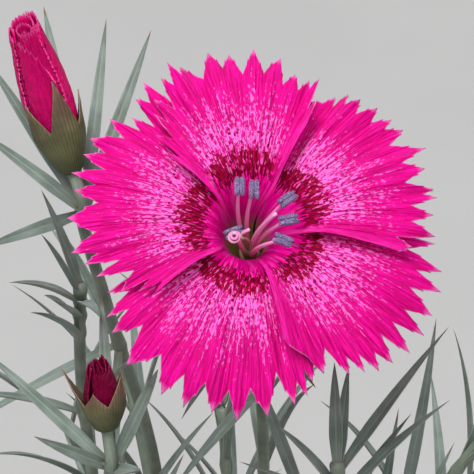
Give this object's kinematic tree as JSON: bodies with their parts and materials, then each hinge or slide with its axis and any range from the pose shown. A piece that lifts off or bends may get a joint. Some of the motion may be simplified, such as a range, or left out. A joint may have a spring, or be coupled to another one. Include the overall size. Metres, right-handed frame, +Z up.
{
  "type": "potted dianthus",
  "caption": "Dianthus plant with a fringed open bloom, buds and narrow leafy shoots, standing in soil in a tapered round pot.",
  "frame": {"origin": "middle of the pot's flat underside", "axes": "+Z up along the pot's axis; the open bloom looks towards -Y and up"},
  "size_m": [0.1227, 0.1236, 0.2039],
  "materials": {
    "terracotta": "matte",
    "soil": "matte",
    "leaf": "matte",
    "calyx": "satin",
    "petal": "satin",
    "bud": "satin",
    "stamen": "matte"
  },
  "bodies": {
    "root": {"pot": "terracotta", "soil": "soil", "flower_stem": "leaf", "upper_bud_stem": "leaf", "left_shoot": "leaf", "lower_bud_stem": "leaf", "right_shoot": "leaf", "cushion_shoot_01": "leaf", "cushion_shoot_02": "leaf", "cushion_shoot_03": "leaf", "cushion_shoot_04": "leaf", "cushion_shoot_05": "leaf", "cushion_shoot_06": "leaf", "cushion_shoot_07": "leaf", "cushion_shoot_08": "leaf", "cushion_shoot_09": "leaf", "cushion_shoot_10": "leaf", "cushion_shoot_11": "leaf", "cushion_shoot_12": "leaf", "cushion_shoot_13": "leaf", "cushion_shoot_14": "leaf", "bloom_calyx": "calyx", "upper_bud_calyx": "calyx", "lower_bud_calyx": "calyx", "bloom_petals": "petal", "bloom_stamens": "stamen", "upper_bud_petals": "bud", "lower_bud_petals": "bud"}
  },
  "joints": []
}
